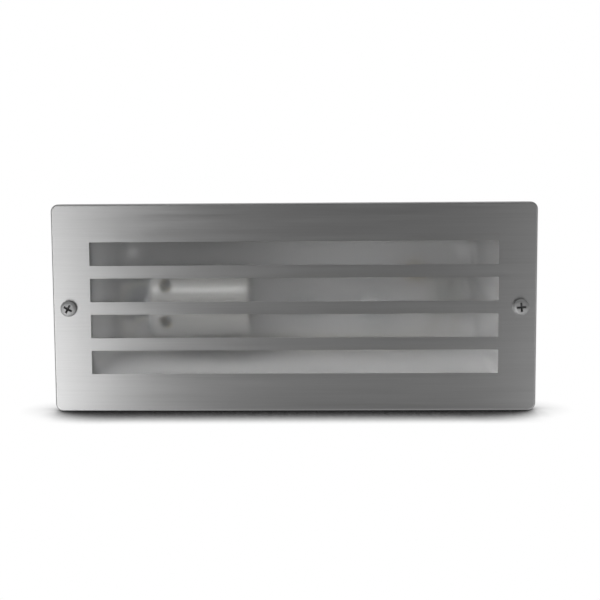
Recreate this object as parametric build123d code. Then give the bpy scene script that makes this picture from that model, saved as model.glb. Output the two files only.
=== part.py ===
from build123d import *
import os
from math import atan2, degrees, radians, tan

# Recessed wall light with a slotted steel front, in millimetres.
#
# Each piece is modelled lying on its back: x to the right, y up the wall and z out of the wall,
# with z = 0 on the face of the wall. The pieces are stood up when they are written, so that the
# front looks along -Y, the box goes into the wall along +Y and +Z is up.

# Faceplate: pressed stainless sheet with a folded rim
plate_width = 255.0
plate_height = 110.0
plate_sheet = 0.8
plate_bend = 0.2
plate_corner = 3.2
plate_border = 20.0
slot_count = 4
slot_height = 12.5
slot_corner = 0.4

# Layers from the wall face out to the plate
flange_thickness = 3.0
groove_depth = 1.0
gasket_proud = 1.5
glass_thickness = 4.0
seal_thickness = 1.7

# Flange, glass and seals in plan
rim_clearance = 0.95
flange_corner = 2.0
pillar_margin = 2.25
pillar_radius = 4.5
pillar_gap = 0.3
glass_end_gap = 0.5
glass_land = 11.25
glass_bearing = 4.5
glass_corner = 3.0
glass_bevel = 0.4
gasket_land = 1.0
gasket_play = 0.15
seal_inset = 0.5
seal_width = 4.5

# Die-cast box
box_depth = 75.0
box_wall = 2.5
box_draft = 2.0
box_corner = 4.5
box_floor_fillet = 3.5
boss_web = 5.0
boss_skin = 2.5
floor_boss_height = 6.0
floor_boss_radius = 4.5
floor_boss_skin = 1.5
boss_flare = 1.0
fixing_inset = 11.5
fixing_hole_radius = 2.5
fixing_boss_radius = 5.0
fixing_boss_height = 3.0

# Screws: metric four everywhere but in the terminals
screw_radius = 2.0
screw_head_radius = 4.25
screw_head_height = 2.8
screw_head_round = 1.6
screw_hole_play = 0.3
thread_play = 0.05
recess_span = 4.8
recess_wing = 1.1
recess_depth = 1.9
recess_taper = 12.0
cover_screw_length = 22.0
left_screw_turn = -30.0
right_screw_turn = 5.0
bracket_screw_bite = 5.0
bore_spare = 1.0

# Lampholder for a large Edison cap, lying along x with its mouth to the right
holder_end_gap = 29.5
holder_depth = 32.0
base_length = 17.0
base_overhang = 1.0
base_dome = 3.0
skirt_length = 37.5
skirt_wall = 5.5
skirt_floor = 5.0
skirt_rim_round = 1.2
shell_radius = 13.3
shell_sheet = 0.5
shell_play = 0.4
shell_recess = 4.0
holder_screw_offset = 9.0
well_offset = 10.0
well_radius = 3.6
well_position = 9.0
pole_size = 7.0
pole_length = 8.0
pole_play = 0.2
pole_bore_radius = 1.5
pole_screw_radius = 1.6
pole_head_radius = 2.5
pole_head_height = 2.0
pole_slot = 0.7

# Centre contact of the lampholder
contact_opening = 6.0
contact_sheet = 0.6
contact_width = 5.0
contact_foot_length = 1.8
contact_root = 3.0
contact_reach = 4.0
contact_tip = 1.2
contact_below = 0.9
contact_gap = 0.35
rivet_radius = 0.7
rivet_head_height = 0.4

# Steel bracket behind the lampholder
bracket_sheet = 1.5
bracket_bend = 1.0
bracket_width = 30.0
bracket_foot = 20.0
bracket_rise = 13.0
bracket_screw_setback = 11.0
bracket_screw_half_pitch = 9.0
bracket_wire_radius = 2.2

# Terminal block, leads and earth at the right end
block_end_gap = 21.5
block_pad_height = 4.0
block_pad_margin = 1.0
block_half_pitch = 6.0
block_length = 18.0
block_barrel_radius = 4.0
block_axis_height = 6.0
block_foot_height = 2.5
block_turret_radius = 2.8
block_turret_height = 12.5
block_screw_spread = 4.2
block_screw_radius = 1.5
block_screw_head_radius = 1.7
block_screw_head_height = 1.6
block_screw_bite = 4.0
insert_radius = 2.7
insert_bore_radius = 1.6
insert_length = 16.0
insert_play = 0.1
clamp_screw_radius = 1.4
clamp_screw_length = 5.0
lead_radius = 1.1
lead_share = 0.45
lead_edge = 7.5
lead_pitch = 3.5
lead_lift = 5.5
lead_side_run = 14.0
lead_side_step = 6.0
lead_drop = 16.0
lead_turn = 12.0
lead_tail = 5.0
earth_offset = 18.0
earth_height = 14.0
earth_washer_radius = 4.6
earth_washer_height = 1.2
earth_screw_bite = 5.0

# Cable entries in the box floor, metric twenty
entry_radius = 10.0
entry_play = 0.15
gland_offset = 43.0
entry_pitch = 40.0
entry_drop = 8.0
oring_width = 2.0
oring_thickness = 1.5
gland_hex = 24.0
gland_collar = 6.0
gland_bore_radius = 6.5
gland_inner_spare = 2.0
locknut_hex = 26.0
locknut_height = 5.0
gland_stem_radius = 9.0
gland_stem_length = 8.5
gland_seat_radius = 7.8
gland_seal_radius = 5.0
gland_seal_length = 7.5
gland_seal_play = 0.1
gland_nut_play = 0.08
gland_nut_gap = 0.5
gland_nut_wall = 2.6
gland_nut_dome = 3.5
gland_mouth_radius = 6.0
plug_head_radius = 13.0
plug_head_height = 2.5
plug_lip = 1.2
plug_lip_height = 3.0
plug_dish_radius = 7.0
plug_dish_depth = 1.5
edge_break = 0.5
cut_spare = 1.0

# Worked out from the sizes above
glass_back = flange_thickness + gasket_proud
glass_front = glass_back + glass_thickness
plate_back = glass_front + seal_thickness
plate_front = plate_back + plate_sheet
slot_width = plate_width - 2 * plate_border
slot_field = plate_height - 2 * plate_border
slot_pitch = (slot_field - slot_height) / (slot_count - 1)
flange_width = plate_width - 2 * (plate_sheet + rim_clearance)
flange_height = plate_height - 2 * (plate_sheet + rim_clearance)
cover_screw_x = flange_width / 2 - pillar_margin - pillar_radius
glass_width = 2 * (cover_screw_x - pillar_radius - glass_end_gap)
glass_height = flange_height - 2 * glass_land
opening_width = glass_width - 2 * glass_bearing
opening_height = glass_height - 2 * glass_bearing
floor_level = box_wall - box_depth
boss_top = floor_level + floor_boss_height
boss_hole = floor_boss_height + box_wall - floor_boss_skin
fixing_x = opening_width / 2 - fixing_inset
fixing_y = opening_height / 2 - fixing_inset
shell_outer = shell_radius + shell_sheet
skirt_bore = shell_outer + shell_play
skirt_radius = skirt_bore + skirt_wall
base_radius = skirt_radius + base_overhang
shell_length = skirt_length - skirt_floor - shell_recess
holder_x = holder_end_gap - opening_width / 2
bracket_top = boss_top + bracket_sheet
bracket_screw_x = holder_x - bracket_screw_setback
block_x = opening_width / 2 - block_end_gap
block_level = floor_level + block_pad_height
block_axis = block_level + block_axis_height
earth_x = block_x - earth_offset
gland_x = block_x - gland_offset
plug_x = gland_x - entry_pitch
entry_hole_radius = entry_radius + entry_play
collar_level = -box_depth - oring_thickness
stem_level = collar_level - gland_collar
stem_end = stem_level - gland_stem_length
nut_radius = gland_stem_radius + gland_nut_play

# The lampholder's own frame: x up the wall, y out of the wall and z along the lamp
holder_frame = Plane(origin=(holder_x, 0, -holder_depth), x_dir=(0, 1, 0), z_dir=(1, 0, 0))


def slab(width, height, corner, low, high):
    """Block with rounded corners between two levels."""
    return extrude(Pos(0, 0, low) * RectangleRounded(width, height, corner), high - low)


def rod(radius, low, high):
    """Round bar along z between two levels."""
    return extrude(Pos(0, 0, low) * Circle(radius), high - low)


def hexagon(across_flats, low, high):
    """Six-sided bar along z between two levels."""
    outline = RegularPolygon(across_flats / 2, 6, major_radius=False)
    return extrude(Pos(0, 0, low) * outline, high - low)


def turned(profile):
    """Solid of revolution about z from a closed list of radius and level pairs."""
    outline = Polyline([(radius, 0, level) for radius, level in profile], close=True)
    return revolve(make_face(outline), Axis.Z)


def drafted(grow, high, low, floor_round):
    """Tapered block that follows the box mouth, larger by grow all round, rounded at its floor."""
    ends = []
    for level in (high, low):
        shrink = (flange_thickness - level) * tan(radians(box_draft)) - grow
        outline = RectangleRounded(opening_width - 2 * shrink, opening_height - 2 * shrink, box_corner + grow)
        ends.append(Pos(0, 0, level) * outline)
    block = loft(ends, ruled=True)
    return fillet(block.faces().sort_by(Axis.Z)[0].edges(), floor_round)


def pan_screw(length):
    """Pan head screw pointing down from z = 0, with a tapered cross recess in its rounded head."""
    head = rod(screw_head_radius, 0, screw_head_height)
    head = fillet(head.edges().sort_by(Axis.Z)[-1], screw_head_round)
    shank = rod(screw_radius, -length, 0)
    shank = chamfer(shank.edges().sort_by(Axis.Z)[0], edge_break)
    narrowing = 2 * recess_depth * tan(radians(recess_taper))
    mouth = Rectangle(recess_span, recess_wing)
    toe = Pos(0, 0, -recess_depth) * Rectangle(recess_span - narrowing, recess_wing - narrowing)
    wing = Pos(0, 0, screw_head_height) * loft([mouth, toe])
    return head + shank - wing - Rot(0, 0, 90) * wing


def slotted_screw(radius, length, head_radius, head_height):
    """Small slotted screw pointing down from z = 0."""
    screw = rod(radius, -length, 0) + rod(head_radius, 0, head_height)
    slot = Box(2 * head_radius + cut_spare, pole_slot, head_height)
    return screw - Pos(0, 0, head_height) * slot


def make_faceplate():
    """Front plate: folded rim with a bent edge, the row of slots and two screw holes."""
    outer = slab(plate_width, plate_height, plate_corner + plate_sheet, 0, plate_front)
    outer = fillet(outer.faces().sort_by(Axis.Z)[-1].edges(), plate_bend + plate_sheet)
    inside_width = plate_width - 2 * plate_sheet
    inside_height = plate_height - 2 * plate_sheet
    inner = slab(inside_width, inside_height, plate_corner, -cut_spare, plate_back)
    inner = fillet(inner.faces().sort_by(Axis.Z)[-1].edges(), plate_bend)
    plate = outer - inner
    slot = slab(slot_width, slot_height, slot_corner, plate_back - cut_spare, plate_front + cut_spare)
    plate -= [place * slot for place in GridLocations(0, slot_pitch, 1, slot_count)]
    hole = rod(screw_radius + screw_hole_play, plate_back - cut_spare, plate_front + cut_spare)
    return plate - [place * hole for place in GridLocations(2 * cover_screw_x, 0, 2, 1)]


def make_glass():
    """Frosted pane with ground edges."""
    pane = slab(glass_width, glass_height, glass_corner, glass_back, glass_front)
    edges = pane.faces().sort_by(Axis.Z)[-1].edges() + pane.faces().sort_by(Axis.Z)[0].edges()
    return chamfer(edges, glass_bevel)


def make_glass_seal():
    """Ring that bonds the glass to the back of the plate."""
    width = glass_width - 2 * seal_inset
    height = glass_height - 2 * seal_inset
    ring = slab(width, height, glass_corner, glass_front, plate_back)
    inside = slab(
        width - 2 * seal_width, height - 2 * seal_width, glass_corner,
        glass_front - cut_spare, plate_back + cut_spare,
    )
    return ring - inside


def gasket_ring(play, low, high):
    """Ring between the glass edge and the box opening, wider by the play on both sides."""
    inset = gasket_land - play
    ring = slab(glass_width - 2 * inset, glass_height - 2 * inset, box_corner + glass_bearing, low, high)
    return ring - slab(opening_width + 2 * inset, opening_height + 2 * inset, box_corner, low, high)


def make_flange_gasket():
    """Sealing ring that lies in the groove of the flange and stands proud of it."""
    return gasket_ring(0, flange_thickness - groove_depth, glass_back)


def make_cover_screw_boss(side):
    """Pillar and blind boss for one cover screw, tied to the end wall of the box by a web."""
    tip = plate_front - cover_screw_length
    boss_end = tip - bore_spare - boss_skin
    boss = rod(pillar_radius, boss_end, plate_back - pillar_gap)
    root = opening_width / 2 - (flange_thickness - boss_end) * tan(radians(box_draft)) + box_wall / 2
    web = Box(
        cover_screw_x - root, boss_web, -boss_end,
        align=(Align.MIN, Align.CENTER, Align.MAX),
    )
    boss += Pos(root - cover_screw_x, 0, 0) * web
    if side < 0:
        boss = mirror(boss, Plane.YZ)
    return Pos(side * cover_screw_x, 0, 0) * boss


def make_back_box():
    """Die-cast box: drafted tub, flange with gasket groove, bosses, pads and cable entries."""
    box = drafted(box_wall, 0, -box_depth, box_floor_fillet + box_wall)
    flange = slab(flange_width, flange_height, flange_corner, 0, flange_thickness)
    box += chamfer(flange.edges().group_by(Axis.Z)[-1], edge_break)
    box += [make_cover_screw_boss(side) for side in (-1, 1)]
    box -= drafted(0, flange_thickness, floor_level, box_floor_fillet)
    root = floor_level - box_wall / 2
    for x, y, radius, top in floor_bosses():
        boss = turned([
            (0, root),
            (radius + boss_flare, root),
            (radius + boss_flare, floor_level),
            (radius, floor_level + boss_flare),
            (radius, top),
            (0, top),
        ])
        box += Pos(x, y, 0) * boss
    pad_width = 2 * (block_half_pitch + block_barrel_radius + block_pad_margin)
    pad = slab(pad_width, block_length - 2 * block_pad_margin, block_pad_margin, root, block_level)
    box += Pos(block_x, 0, 0) * pad
    box -= gasket_ring(gasket_play, flange_thickness - groove_depth, flange_thickness)
    return box - box_holes()


def floor_bosses():
    """Centre, radius and top of each round boss on the box floor."""
    fixing_top = floor_level + fixing_boss_height
    bosses = [(earth_x, earth_height, floor_boss_radius, boss_top)]
    for side in (-1, 1):
        y = side * bracket_screw_half_pitch
        bosses.append((bracket_screw_x, y, floor_boss_radius, boss_top))
        for end in (-1, 1):
            bosses.append((end * fixing_x, side * fixing_y, fixing_boss_radius, fixing_top))
    return bosses


def box_holes():
    """Every hole in the box: cover screws, floor screws, wall fixings and cable entries."""
    thread = screw_radius + thread_play
    cover = rod(thread, plate_front - cover_screw_length - bore_spare, plate_back)
    holes = [place * cover for place in GridLocations(2 * cover_screw_x, 0, 2, 1)]
    floor = rod(thread, boss_top - boss_hole, boss_top)
    holes.append(Pos(earth_x, earth_height, 0) * floor)
    pitch = 2 * bracket_screw_half_pitch
    holes += [Pos(bracket_screw_x, 0, 0) * place * floor for place in GridLocations(0, pitch, 1, 2)]
    block = rod(block_screw_radius + thread_play, block_level - block_screw_bite - edge_break, block_level)
    holes.append(Pos(block_x, 0, 0) * block)
    fixing_top = floor_level + fixing_boss_height
    fixing = rod(fixing_hole_radius, -box_depth - cut_spare, fixing_top + cut_spare)
    holes += [place * fixing for place in GridLocations(2 * fixing_x, 2 * fixing_y, 2, 2)]
    entry = rod(entry_hole_radius, -box_depth - cut_spare, floor_level + cut_spare)
    holes += [Pos(x, -entry_drop, 0) * entry for x in (gland_x, plug_x)]
    return holes


def make_holder_base():
    """Rear porcelain of the lampholder: rounded block with two poles' pockets, wells and wire holes."""
    base = rod(base_radius, 0, base_length)
    base = fillet(base.edges().sort_by(Axis.Z)[0], base_dome)
    pocket_size = pole_size + 2 * pole_play
    pocket_floor = well_position - pole_length / 2
    pocket = Box(
        pocket_size, pocket_size, base_length - pocket_floor,
        align=(Align.CENTER, Align.CENTER, Align.MIN),
    )
    wire = rod(pole_bore_radius + pole_play, -cut_spare, base_length)
    well = Pos(0, 0, well_position) * Rot(-90, 0, 0) * rod(well_radius, 0, base_radius + cut_spare)
    screw = rod(screw_radius + thread_play, -cut_spare, base_length)
    for side in (-1, 1):
        base -= Pos(side * well_offset, 0, pocket_floor) * pocket
        base -= Pos(side * well_offset, 0, 0) * wire
        base -= Pos(side * well_offset, 0, 0) * well
        base -= Pos(0, side * holder_screw_offset, 0) * screw
    rivet_x = -contact_root - contact_gap - contact_foot_length / 2
    base -= Pos(rivet_x, 0, base_length) * rod(rivet_radius + thread_play, -contact_foot_length, 0)
    return holder_frame * base


def make_holder_skirt():
    """Porcelain sleeve with a thick floor for the screws and a rounded mouth."""
    end = base_length + skirt_length
    floor = base_length + skirt_floor
    skirt = rod(skirt_radius, base_length, end) - rod(skirt_bore, floor, end)
    skirt = fillet(skirt.edges().group_by(Axis.Z)[-1], skirt_rim_round)
    skirt -= rod(contact_opening, base_length, floor)
    screw = rod(screw_radius + thread_play, base_length, floor - edge_break)
    skirt -= [place * screw for place in GridLocations(0, 2 * holder_screw_offset, 1, 2)]
    return holder_frame * skirt


def make_screw_shell():
    """Plain metal cup in the skirt; the lamp's thread runs in it."""
    low = base_length + skirt_floor
    high = low + shell_length
    shell = rod(shell_outer, low, high) - rod(shell_radius, low + shell_sheet, high)
    return holder_frame * (shell - rod(contact_opening, low, low + shell_sheet))


def make_contact_foot():
    """Riveted foot of the centre contact on the face of the base."""
    width = contact_foot_length
    x = -contact_root - contact_gap - width / 2
    foot = Box(width, contact_width, contact_sheet, align=(Align.CENTER, Align.CENTER, Align.MIN))
    foot += rod(rivet_radius, -contact_foot_length / 2, contact_sheet + rivet_head_height)
    return holder_frame * Pos(x, 0, base_length) * foot


def make_contact_tongue():
    """Springy tongue of the centre contact, rising from its root to a flat tip at the middle."""
    rise = skirt_floor - contact_below - contact_sheet
    root = (-contact_root, 0, base_length + contact_sheet)
    knee = (contact_reach - contact_tip, 0, base_length + contact_sheet + rise)
    tip = (contact_reach, 0, base_length + contact_sheet + rise)
    slope = degrees(atan2(rise, contact_reach - contact_tip + contact_root))
    run = Vector(*knee) - Vector(*root)
    arm = Box(run.length, contact_width, contact_sheet, align=(Align.MIN, Align.CENTER, Align.CENTER))
    tongue = Pos(*root) * Rot(0, -slope, 0) * arm
    eye = Rot(90, 0, 0) * rod(contact_sheet / 2, -contact_width / 2, contact_width / 2)
    tongue += Pos(*root) * eye
    tongue += Pos(*knee) * eye
    flat = Box(contact_tip, contact_width, contact_sheet, align=(Align.MIN, Align.CENTER, Align.CENTER))
    tongue += Pos(*knee) * flat
    tongue += Pos(*tip) * eye
    return holder_frame * tongue


def make_holder_terminals():
    """Two brass blocks in the base, each with a wire bore and a tapped hole."""
    low = well_position - pole_length / 2
    half = pole_size / 2
    pole = Box(pole_size, pole_size, pole_length, align=(Align.CENTER, Align.CENTER, Align.MIN))
    pole = Pos(0, 0, low) * pole - rod(pole_bore_radius, low, low + pole_length)
    pole -= Pos(0, 0, well_position) * Rot(-90, 0, 0) * rod(pole_screw_radius + thread_play, 0, half)
    places = GridLocations(2 * well_offset, 0, 2, 1)
    return Compound([holder_frame * place * pole for place in places])


def make_holder_terminal_screws():
    """Slotted screws that clamp the wires, reached through the two wells."""
    half = pole_size / 2
    length = half - lead_radius - pole_play
    screw = slotted_screw(pole_screw_radius, length, pole_head_radius, pole_head_height)
    screw = Pos(0, half, well_position) * Rot(-90, 0, 0) * screw
    places = GridLocations(2 * well_offset, 0, 2, 1)
    return Compound([holder_frame * place * screw for place in places])


def make_holder_screws():
    """Two long screws that hold bracket, base and skirt together."""
    length = bracket_sheet + base_length + skirt_floor - 2 * edge_break
    screw = Pos(0, 0, -bracket_sheet) * Rot(180, 0, 0) * pan_screw(length)
    places = GridLocations(0, 2 * holder_screw_offset, 1, 2)
    return Compound([holder_frame * place * screw for place in places])


def make_holder_bracket():
    """Bent steel angle: the foot lies on two floor bosses, the upright carries the lampholder."""
    high = bracket_rise - holder_depth
    upright = Box(
        bracket_sheet, bracket_width, high - boss_top,
        align=(Align.MAX, Align.CENTER, Align.MIN),
    )
    foot = Box(bracket_foot, bracket_width, bracket_sheet, align=(Align.MAX, Align.CENTER, Align.MIN))
    angle = Pos(holder_x, 0, boss_top) * (upright + foot)
    inside = angle.edges().filter_by(Axis.Y).sort_by_distance((holder_x - bracket_sheet, 0, bracket_top))[0]
    angle = fillet(inside, bracket_bend)
    outside = angle.edges().filter_by(Axis.Y).sort_by_distance((holder_x, 0, boss_top))[0]
    angle = fillet(outside, bracket_bend + bracket_sheet)
    hole = rod(screw_radius + screw_hole_play, boss_top - cut_spare, bracket_top + cut_spare)
    pitch = 2 * bracket_screw_half_pitch
    angle -= [Pos(bracket_screw_x, 0, 0) * place * hole for place in GridLocations(0, pitch, 1, 2)]
    fixing = rod(screw_radius + screw_hole_play, -bracket_sheet - cut_spare, cut_spare)
    wire = rod(bracket_wire_radius, -bracket_sheet - cut_spare, cut_spare)
    angle -= [holder_frame * place * fixing for place in GridLocations(0, 2 * holder_screw_offset, 1, 2)]
    return angle - [holder_frame * place * wire for place in GridLocations(2 * well_offset, 0, 2, 1)]


def make_bracket_screws():
    """Two pan head screws through the bracket foot."""
    screw = Pos(bracket_screw_x, 0, bracket_top) * pan_screw(bracket_sheet + bracket_screw_bite)
    pitch = 2 * bracket_screw_half_pitch
    return Compound([place * screw for place in GridLocations(0, pitch, 1, 2)])


def block_poles(shape):
    """Copies of a shape at both poles of the terminal block."""
    places = GridLocations(2 * block_half_pitch, 0, 2, 1)
    return [Pos(block_x, 0, block_axis) * place * shape for place in places]


def make_terminal_block():
    """Two-way terminal block: barrels across the box, turrets for the screws and a fixing hole."""
    lying = Rot(90, 0, 0)
    half = block_length / 2
    foot_width = 2 * (block_half_pitch + block_barrel_radius)
    foot = slab(foot_width, block_length, block_pad_margin, block_level, block_level + block_foot_height)
    turret_top = block_turret_height - block_axis_height
    barrel = lying * rod(block_barrel_radius, -half, half)
    turret = rod(block_turret_radius, 0, turret_top)
    barrel += [place * turret for place in GridLocations(0, 2 * block_screw_spread, 1, 2)]
    bore = lying * rod(insert_radius + insert_play, -half, half)
    access = rod(clamp_screw_radius + insert_play, 0, turret_top)
    bore += [place * access for place in GridLocations(0, 2 * block_screw_spread, 1, 2)]
    block = Pos(block_x, 0, 0) * foot
    block += block_poles(barrel)
    block -= block_poles(bore)
    fixing = rod(block_screw_radius + screw_hole_play, block_level, block_level + block_foot_height)
    return block - Pos(block_x, 0, 0) * fixing


def make_terminal_inserts():
    """Brass tubes in the terminal block with tapped holes for the clamp screws."""
    half = insert_length / 2
    tube = rod(insert_radius, -half, half) - rod(insert_bore_radius, -half, half)
    tube = Rot(90, 0, 0) * tube
    hole = rod(clamp_screw_radius + thread_play, 0, insert_radius)
    tube -= [place * hole for place in GridLocations(0, 2 * block_screw_spread, 1, 2)]
    return Compound(block_poles(tube))


def make_terminal_screws():
    """Four headless clamp screws in the turrets, just clear of the wires."""
    low = lead_radius + pole_play
    screw = rod(clamp_screw_radius, low, low + clamp_screw_length)
    slot = Box(2 * clamp_screw_radius + cut_spare, pole_slot, pole_head_height)
    screw -= Pos(0, 0, low + clamp_screw_length) * slot
    screws = []
    for place in GridLocations(0, 2 * block_screw_spread, 1, 2):
        screws += block_poles(place * screw)
    return Compound(screws)


def make_block_screw():
    """Screw that holds the terminal block to its pad."""
    head_level = block_level + block_foot_height
    length = block_foot_height + block_screw_bite
    screw = slotted_screw(block_screw_radius, length, block_screw_head_radius, block_screw_head_height)
    return Pos(block_x, 0, head_level) * screw


def easy_radii(points):
    """Bend radius at each inner point of a route: as large as the two runs beside it allow."""
    radii = []
    for before, here, after in zip(points, points[1:], points[2:]):
        run_in = here - before
        run_out = after - here
        half_turn = radians(run_in.get_angle(run_out) / 2)
        radii.append(lead_share * min(run_in.length, run_out.length) / tan(half_turn))
    print("lead bend radii", [round(radius, 1) for radius in radii])
    return radii


def make_lead(side):
    """One lead from its lampholder pole round the end of the box and along the floor to the block.

    The upper lead (side 1) swings wider round the end and runs nearer the middle of the box.
    """
    upper = side > 0
    lane = lead_edge + lead_pitch if upper else lead_edge
    lane_y = lane - opening_height / 2
    lane_z = floor_level + lead_lift
    side_x = holder_x - lead_side_run - (lead_side_step if upper else 0)
    end_x = block_x - block_half_pitch if upper else block_x + block_half_pitch
    pole_y = side * well_offset
    points = [
        Vector(holder_x + well_position, pole_y, -holder_depth),
        Vector(side_x, pole_y, -holder_depth),
        Vector(side_x, lane_y, -holder_depth - lead_drop),
        Vector(side_x + lead_turn, lane_y, lane_z),
        Vector(end_x - lead_turn, lane_y, lane_z),
        Vector(end_x, lane_y + lead_turn / 2, block_axis),
        Vector(end_x, -lead_tail, block_axis),
    ]
    route = FilletPolyline(*points, radius=easy_radii(points))
    start = Plane(origin=route @ 0, z_dir=route % 0)
    return sweep(start * Circle(lead_radius), path=route)


def make_earth_washer():
    """Cupped washer that traps the earth wire on its boss."""
    hole = screw_radius + screw_hole_play
    rise = earth_washer_height / 2
    washer = turned([
        (hole, boss_top + rise),
        (earth_washer_radius, boss_top),
        (earth_washer_radius, boss_top + rise),
        (hole, boss_top + earth_washer_height),
    ])
    return Pos(earth_x, earth_height, 0) * washer


def make_earth_screw():
    """Earth terminal screw."""
    screw = pan_screw(earth_washer_height + earth_screw_bite)
    return Pos(earth_x, earth_height, boss_top + earth_washer_height) * screw


def make_gland_body():
    """Cable gland body: stem through the floor, hexagon collar and outer stem with a seat."""
    top = floor_level + locknut_height + gland_inner_spare
    body = rod(entry_radius, collar_level, top) + hexagon(gland_hex, stem_level, collar_level)
    body += rod(gland_stem_radius, stem_end, stem_level)
    body -= rod(gland_bore_radius, stem_end, top)
    body -= rod(gland_seat_radius, stem_end, stem_end + gland_seal_length)
    return Pos(gland_x, -entry_drop, 0) * body


def make_gland_oring():
    """Flat sealing ring between the collar and the box."""
    inner = entry_radius + entry_play
    ring = rod(inner + oring_width, collar_level, -box_depth) - rod(inner, collar_level, -box_depth)
    return Pos(gland_x, -entry_drop, 0) * ring


def make_gland_locknut():
    """Hexagon nut that holds the gland inside the box."""
    top = floor_level + locknut_height
    nut = hexagon(locknut_hex, floor_level, top)
    nut &= turned([
        (0, floor_level),
        (locknut_hex / 2 + edge_break, floor_level),
        (locknut_hex / 2 + 2 * edge_break, floor_level + edge_break),
        (locknut_hex / 2 + 2 * edge_break, top - edge_break),
        (locknut_hex / 2 + edge_break, top),
        (0, top),
    ])
    return Pos(gland_x, -entry_drop, 0) * (nut - rod(entry_radius + thread_play, floor_level, top))


def make_gland_seal():
    """Rubber sleeve that grips the cable."""
    top = stem_end + gland_seal_length
    seal = rod(gland_seat_radius - gland_seal_play, stem_end, top)
    return Pos(gland_x, -entry_drop, 0) * (seal - rod(gland_seal_radius, stem_end, top))


def make_gland_nut():
    """Domed cap nut of the gland, with six flats, over the outer stem."""
    low = stem_level - gland_nut_gap
    shoulder = stem_end - gland_nut_gap
    crown = shoulder - gland_nut_wall
    outside = nut_radius + gland_nut_wall
    nut = hexagon(2 * outside, crown - gland_nut_dome, low)
    nut &= turned([
        (0, low),
        (outside + edge_break, low),
        (outside + 2 * edge_break, low - edge_break),
        (outside + 2 * edge_break, crown + gland_nut_dome),
        (gland_mouth_radius + gland_nut_wall, crown - gland_nut_dome / 2),
        (gland_mouth_radius + edge_break, crown - gland_nut_dome),
        (0, crown - gland_nut_dome),
    ])
    nut -= rod(nut_radius, shoulder, low) + rod(gland_mouth_radius, crown - gland_nut_dome, low)
    return Pos(gland_x, -entry_drop, 0) * nut


def make_blanking_plug():
    """Push-in plug with a dished head outside and a tapered lip inside."""
    head = -box_depth - plug_head_height
    lip_end = floor_level + plug_lip_height
    plug = turned([
        (0, head + plug_dish_depth),
        (plug_dish_radius, head + plug_dish_depth),
        (plug_dish_radius + plug_dish_depth, head),
        (plug_head_radius - edge_break, head),
        (plug_head_radius, head + edge_break),
        (plug_head_radius, -box_depth),
        (entry_radius, -box_depth),
        (entry_radius, floor_level),
        (entry_radius + plug_lip, floor_level),
        (entry_radius - plug_lip, lip_end),
        (plug_dish_radius, lip_end),
        (plug_dish_radius, floor_level),
        (0, floor_level),
    ])
    return Pos(plug_x, -entry_drop, 0) * plug


def make_cover_screw(side):
    """Cover screw, its head on the front of the plate; the recess is turned a little on each."""
    turn = left_screw_turn if side < 0 else right_screw_turn
    return Pos(side * cover_screw_x, 0, plate_front) * Rot(0, 0, turn) * pan_screw(cover_screw_length)


parts = {
    "back_box": make_back_box(),
    "flange_gasket": make_flange_gasket(),
    "faceplate": make_faceplate(),
    "glass_seal": make_glass_seal(),
    "diffuser_glass": make_glass(),
    "left_cover_screw": make_cover_screw(-1),
    "right_cover_screw": make_cover_screw(1),
    "holder_bracket": make_holder_bracket(),
    "bracket_screws": make_bracket_screws(),
    "holder_base": make_holder_base(),
    "holder_skirt": make_holder_skirt(),
    "holder_screws": make_holder_screws(),
    "holder_terminals": make_holder_terminals(),
    "holder_terminal_screws": make_holder_terminal_screws(),
    "screw_shell": make_screw_shell(),
    "contact_foot": make_contact_foot(),
    "contact_tongue": make_contact_tongue(),
    "terminal_block": make_terminal_block(),
    "terminal_inserts": make_terminal_inserts(),
    "terminal_screws": make_terminal_screws(),
    "block_screw": make_block_screw(),
    "live_lead": make_lead(1),
    "neutral_lead": make_lead(-1),
    "earth_washer": make_earth_washer(),
    "earth_screw": make_earth_screw(),
    "gland_body": make_gland_body(),
    "gland_oring": make_gland_oring(),
    "gland_locknut": make_gland_locknut(),
    "gland_seal": make_gland_seal(),
    "gland_nut": make_gland_nut(),
    "blanking_plug": make_blanking_plug(),
}

os.makedirs("parts", exist_ok=True)
for name, piece in parts.items():
    export_step(Plane.XZ.location * piece, f"parts/{name}.step")
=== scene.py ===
from math import pi, radians

import bpy
import numpy as np
from bpy.props import FloatProperty, FloatVectorProperty, PointerProperty
from mathutils import Matrix, Vector


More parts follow.
